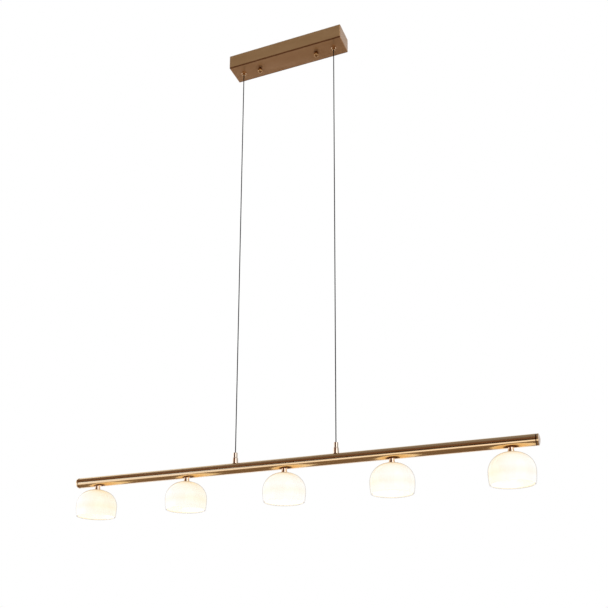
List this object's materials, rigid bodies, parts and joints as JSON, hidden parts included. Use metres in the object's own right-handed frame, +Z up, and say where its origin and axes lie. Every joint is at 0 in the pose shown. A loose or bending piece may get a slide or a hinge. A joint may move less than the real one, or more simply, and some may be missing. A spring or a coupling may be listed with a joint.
{
  "type": "linear island pendant",
  "caption": "Linear pendant light: a slim brass bar carries a row of opal glass dome shades and hangs on thin cables from a long box canopy.",
  "frame": {"origin": "Centre of the ceiling plane, on the bracket's top face, midway between the two ceiling screws.", "axes": "+X runs along the bar and the canopy, +Y across them (away from the viewer), +Z points up into the ceiling."},
  "size_m": [1.1182, 0.097, 1.1742],
  "materials": {
    "bronze_cover": "satin antique bronze-tone plating over steel",
    "aged_brass": "brushed aged brass under clear lacquer",
    "bright_brass": "polished brass",
    "zinc_steel": "zinc plated",
    "opal_glass": "opal glass, glossy outside, fire-polished rim",
    "driver_case": "moulded white plastic",
    "terminal_body": "moulded nylon",
    "cable_jacket": "dark clear-coated insulated steel cable",
    "wire_jacket": "insulated copper wire",
    "spring_steel": "spring steel wire",
    "soft_washer": "silicone",
    "socket_ceramic": "unglazed steatite",
    "frosted_lamp": "frosted glass capsule, lit warm white"
  },
  "bodies": {
    "root": {"ceiling_bracket": "zinc_steel", "bracket_studs": "zinc_steel", "stud_nuts": "zinc_steel", "ground_screw": "zinc_steel", "canopy_cover": "bronze_cover", "led_driver": "driver_case", "driver_screws": "zinc_steel", "mains_terminal": "terminal_body", "cable_gripper_left": "aged_brass", "cable_gripper_right": "aged_brass", "gripper_nuts": "zinc_steel", "cable_tail_left": "cable_jacket", "cable_tail_right": "cable_jacket", "gripper_spring_left": "spring_steel", "gripper_spring_right": "spring_steel"},
    "plunger_left": {"release_plunger_left": "aged_brass"},
    "plunger_right": {"release_plunger_right": "aged_brass"},
    "knob_left": {"knob_nut_left": "bright_brass"},
    "knob_right": {"knob_nut_right": "bright_brass"},
    "cables": {"cable_left": "cable_jacket", "cable_right": "cable_jacket"},
    "bar": {"bar_tube": "aged_brass", "end_cap_left": "aged_brass", "end_cap_right": "aged_brass", "cable_ferrule_left": "aged_brass", "cable_ferrule_right": "aged_brass", "ferrule_nuts": "zinc_steel", "neck_nuts": "zinc_steel", "feed_wire_front": "wire_jacket", "feed_wire_back": "wire_jacket", "shade_washers": "soft_washer", "shade_neck_1": "aged_brass", "shade_neck_2": "aged_brass", "shade_neck_3": "aged_brass", "shade_neck_4": "aged_brass", "shade_neck_5": "aged_brass", "lamp_socket_1": "socket_ceramic", "lamp_socket_2": "socket_ceramic", "lamp_socket_3": "socket_ceramic", "lamp_socket_4": "socket_ceramic", "lamp_socket_5": "socket_ceramic", "glass_shade_1": "opal_glass", "glass_shade_2": "opal_glass", "glass_shade_3": "opal_glass", "glass_shade_4": "opal_glass", "glass_shade_5": "opal_glass"},
    "ring_1": {"shade_ring_1": "bright_brass"},
    "lamp_1": {"capsule_lamp_1": "frosted_lamp"},
    "ring_2": {"shade_ring_2": "bright_brass"},
    "lamp_2": {"capsule_lamp_2": "frosted_lamp"},
    "ring_3": {"shade_ring_3": "bright_brass"},
    "lamp_3": {"capsule_lamp_3": "frosted_lamp"},
    "ring_4": {"shade_ring_4": "bright_brass"},
    "lamp_4": {"capsule_lamp_4": "frosted_lamp"},
    "ring_5": {"shade_ring_5": "bright_brass"},
    "lamp_5": {"capsule_lamp_5": "frosted_lamp"}
  },
  "joints": [
    {"name": "sway", "type": "hinge", "parent": "root", "child": "cables", "pos_m": [0, 0, -0.0433], "axis": [1, 0, 0], "range_deg": [-30, 30]},
    {"name": "bar_height", "type": "slide", "parent": "cables", "child": "bar", "axis": [0, 0, 1], "range_m": [0, 0.75], "deforming": ["cable_left", "cable_right"]},
    {"name": "release_left", "type": "slide", "parent": "root", "child": "plunger_left", "axis": [0, 0, 1], "range_m": [0, 0.0016], "stiffness_N_per_m": 900, "springref_m": -0.0025, "deforming": ["gripper_spring_left"]},
    {"name": "release_right", "type": "slide", "parent": "root", "child": "plunger_right", "axis": [0, 0, 1], "range_m": [0, 0.0016], "stiffness_N_per_m": 900, "springref_m": -0.0025, "deforming": ["gripper_spring_right"]},
    {"name": "knob_left_turn", "type": "hinge", "parent": "root", "child": "knob_left", "pos_m": [-0.07725, 0, -0.0353], "axis": [0, 0, 1], "continuous": true},
    {"name": "knob_right_turn", "type": "hinge", "parent": "root", "child": "knob_right", "pos_m": [0.07725, 0, -0.0353], "axis": [0, 0, 1], "continuous": true},
    {"name": "ring_1_turn", "type": "hinge", "parent": "bar", "child": "ring_1", "pos_m": [-0.5, 0, -1.1118], "axis": [0, 0, 1], "continuous": true},
    {"name": "ring_2_turn", "type": "hinge", "parent": "bar", "child": "ring_2", "pos_m": [-0.25, 0, -1.1118], "axis": [0, 0, 1], "continuous": true},
    {"name": "ring_3_turn", "type": "hinge", "parent": "bar", "child": "ring_3", "pos_m": [0, 0, -1.1118], "axis": [0, 0, 1], "continuous": true},
    {"name": "ring_4_turn", "type": "hinge", "parent": "bar", "child": "ring_4", "pos_m": [0.25, 0, -1.1118], "axis": [0, 0, 1], "continuous": true},
    {"name": "ring_5_turn", "type": "hinge", "parent": "bar", "child": "ring_5", "pos_m": [0.5, 0, -1.1118], "axis": [0, 0, 1], "continuous": true},
    {"name": "lamp_1_pull", "type": "slide", "parent": "bar", "child": "lamp_1", "axis": [0, 0, -1], "range_m": [0, 0.065]},
    {"name": "lamp_2_pull", "type": "slide", "parent": "bar", "child": "lamp_2", "axis": [0, 0, -1], "range_m": [0, 0.065]},
    {"name": "lamp_3_pull", "type": "slide", "parent": "bar", "child": "lamp_3", "axis": [0, 0, -1], "range_m": [0, 0.065]},
    {"name": "lamp_4_pull", "type": "slide", "parent": "bar", "child": "lamp_4", "axis": [0, 0, -1], "range_m": [0, 0.065]},
    {"name": "lamp_5_pull", "type": "slide", "parent": "bar", "child": "lamp_5", "axis": [0, 0, -1], "range_m": [0, 0.065]}
  ]
}
